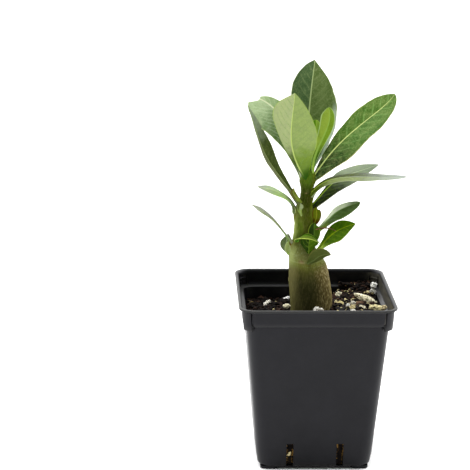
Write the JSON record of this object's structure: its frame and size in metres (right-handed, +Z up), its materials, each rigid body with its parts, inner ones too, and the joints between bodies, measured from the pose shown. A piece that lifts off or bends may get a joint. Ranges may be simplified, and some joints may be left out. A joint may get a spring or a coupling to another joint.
{
  "type": "potted desert rose plant",
  "caption": "Young desert rose (adenium) with a swollen trunk and leathery green leaves, standing in dark potting mix with perlite in a square dark plastic nursery pot",
  "frame": {"origin": "centre of the pot's base on the surface that the pot stands on, straight below the middle of the base plate, which is 1 mm up on the corner feet", "axes": "+Z up along the stem, +X to the right and +Y away from the viewer, square to the pot's walls"},
  "size_m": [0.0956, 0.0911, 0.2322],
  "materials": {
    "dark_plastic": "semi-matte moulded charcoal plastic with a paler worn lip",
    "potting_mix": "damp dark brown peat and bark crumbs",
    "bark": "thin olive bark, satin, with fine lengthwise wrinkles and leaf scars",
    "dark_leaf": "leathery dark green blade with a waxy sheen and a pale midrib",
    "pale_leaf": "satin pale green underside or sheen-lit face with a yellow-green midrib",
    "young_leaf": "soft yellow-green young blade, satin",
    "perlite": "rough off-white puffed grains, some stained cream"
  },
  "bodies": {
    "root": {"pot": "dark_plastic", "potting_mix": "potting_mix", "caudex_and_stem": "bark", "leaf_back_tall": "dark_leaf", "leaf_front_pale": "pale_leaf", "leaf_right_broad": "dark_leaf", "leaf_left_broad": "pale_leaf", "leaf_left_long": "dark_leaf", "leaf_right_arched": "pale_leaf", "leaf_right_low": "dark_leaf", "leaf_left_arched": "pale_leaf", "leaf_left_slim": "pale_leaf", "leaf_right_oval": "dark_leaf", "leaf_right_lower": "dark_leaf", "leaf_young_tall": "young_leaf", "leaf_young_short": "young_leaf", "leaf_shoulder": "dark_leaf", "leaf_front_fan": "young_leaf", "leaf_front_flat": "young_leaf", "leaf_front_upright": "dark_leaf", "leaf_right_round": "dark_leaf", "leaf_left_round": "dark_leaf", "leaf_left_small": "pale_leaf", "bud_leaf_left": "dark_leaf", "bud_leaf_front": "pale_leaf", "leaf_back_middle": "dark_leaf", "perlite_1": "perlite", "perlite_2": "perlite", "perlite_3": "perlite", "perlite_4": "perlite", "perlite_5": "perlite", "perlite_6": "perlite", "perlite_7": "perlite", "perlite_8": "perlite", "perlite_9": "perlite", "perlite_10": "perlite", "perlite_11": "perlite", "perlite_12": "perlite", "perlite_13": "perlite", "perlite_14": "perlite", "perlite_15": "perlite", "perlite_16": "perlite"}
  },
  "joints": []
}
